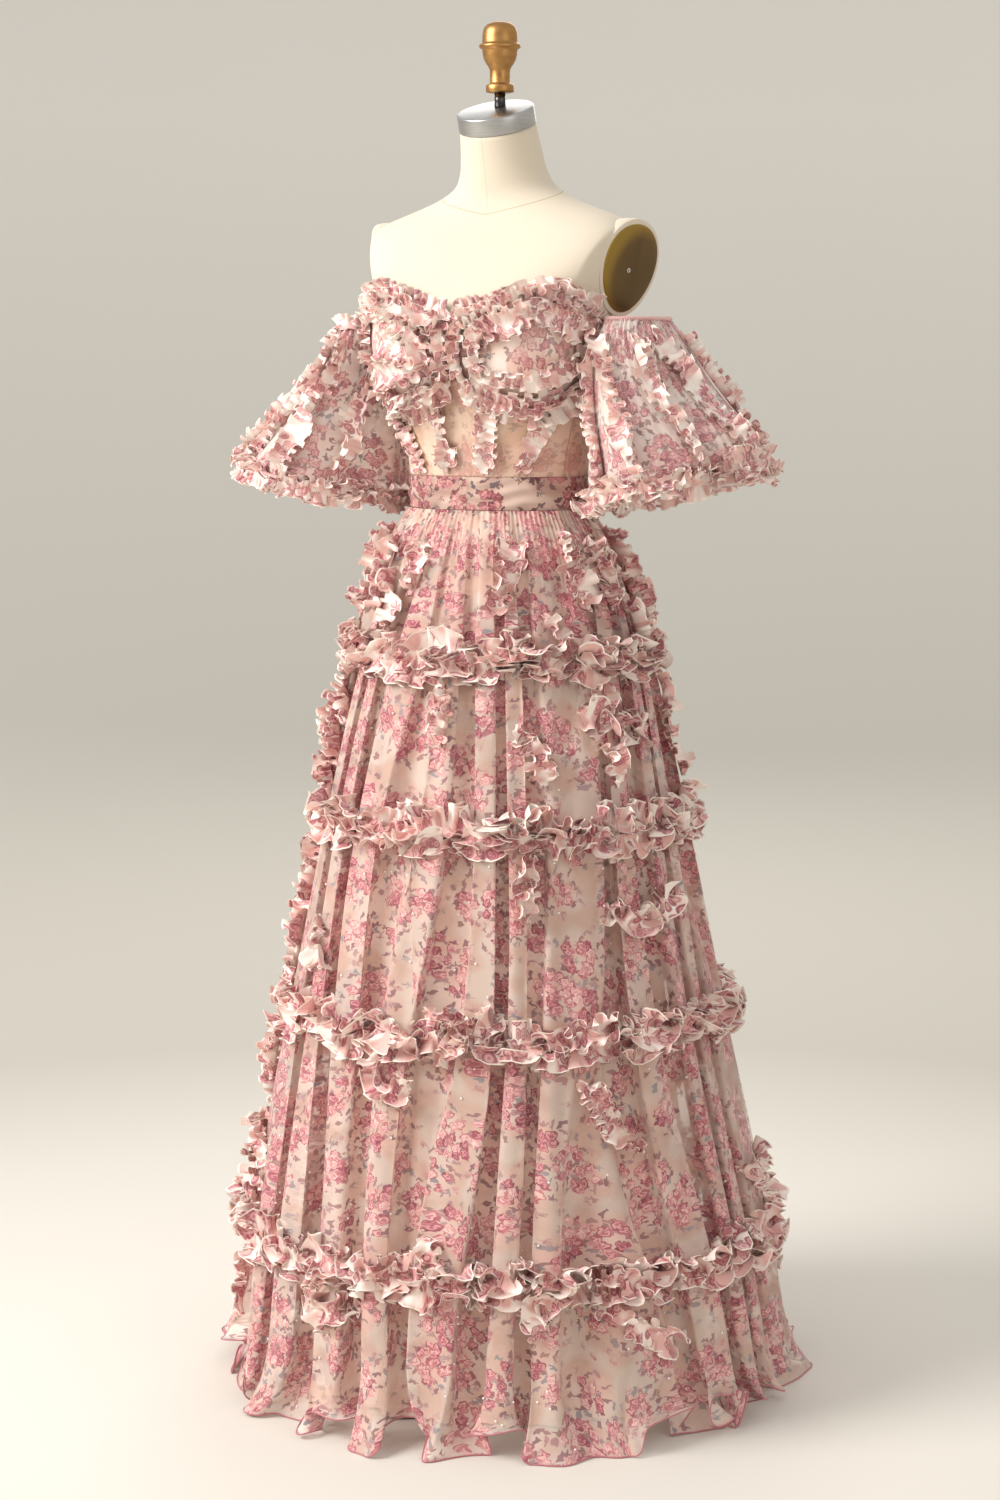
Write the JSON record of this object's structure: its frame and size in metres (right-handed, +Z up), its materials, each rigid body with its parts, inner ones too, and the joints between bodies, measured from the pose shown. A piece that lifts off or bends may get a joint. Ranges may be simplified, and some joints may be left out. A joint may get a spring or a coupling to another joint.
{
  "type": "prom dress on a limbless dress form",
  "caption": "Floor-length off-the-shoulder gown of floral printed tulle with frilled tiers, puffed sleeves and a boned bodice, on a canvas dress form with a stand.",
  "frame": {"origin": "the centre of the stand's underside, on the floor", "axes": "+Z up, -Y the way the gown faces, +X to the wearer's left"},
  "size_m": [0.7472, 0.765, 1.7433],
  "materials": {
    "canvas": "matt cream canvas cover",
    "steel": "brushed",
    "dark_steel": "dark satin",
    "gold": "satin, turned",
    "bronze": "satin olive bronze",
    "print": "sheer floral printed tulle",
    "sheer": "nude net with a faint print",
    "slip": "smooth nude lining",
    "frill": "gathered tulle with a cream edge",
    "zip": "lacquered, dyed to match"
  },
  "bodies": {
    "gown_on_form": {"form_torso": "canvas", "form_arm_plate_left": "bronze", "form_arm_plate_right": "bronze", "form_neck_cap": "steel", "form_cap_rod": "dark_steel", "form_finial": "gold", "form_pole": "steel", "form_base": "steel", "bodice_centre_front": "sheer", "bodice_side_front_left": "sheer", "bodice_side_front_right": "sheer", "bodice_side_left": "sheer", "bodice_side_right": "sheer", "bodice_back_left": "sheer", "bodice_back_right": "sheer", "cup_left": "print", "cup_right": "print", "waistband_front": "print", "waistband_back_left": "print", "waistband_back_right": "print", "skirt_tier_1_front": "print", "skirt_tier_1_back": "print", "skirt_tier_2_front": "print", "skirt_tier_2_back": "print", "skirt_tier_3_front": "print", "skirt_tier_3_back": "print", "skirt_tier_4_front": "print", "skirt_tier_4_back": "print", "skirt_tier_5_front": "print", "skirt_tier_5_back": "print", "slip_front": "slip", "slip_back": "slip", "tier_frill_1": "frill", "tier_frill_2": "frill", "tier_frill_3": "frill", "tier_frill_4": "frill", "slant_frill_hip": "frill", "slant_frill_upper": "frill", "slant_frill_middle": "frill", "slant_frill_low": "frill", "bone_frill_inner_left": "frill", "bone_frill_inner_right": "frill", "bone_frill_outer_left": "frill", "bone_frill_outer_right": "frill", "bone_frill_back_left": "frill", "bone_frill_back_right": "frill", "cup_frill_under_left": "frill", "cup_frill_under_right": "frill", "cup_frill_over_left": "frill", "cup_frill_over_right": "frill", "neckline_frill_left": "frill", "neckline_frill_right": "frill", "sleeve_left": "print", "sleeve_right": "print", "sleeve_frill_front_left": "frill", "sleeve_frill_front_right": "frill", "sleeve_frill_outer_left": "frill", "sleeve_frill_outer_right": "frill", "zip_slider": "zip"},
    "zip_pull": {"zip_pull": "zip"}
  },
  "joints": [
    {"name": "zip_pull_swing", "type": "hinge", "parent": "gown_on_form", "child": "zip_pull", "pos_m": [0, 0.10054, 1.336], "axis": [1, 0, 0], "range_deg": [0, 150]}
  ]
}
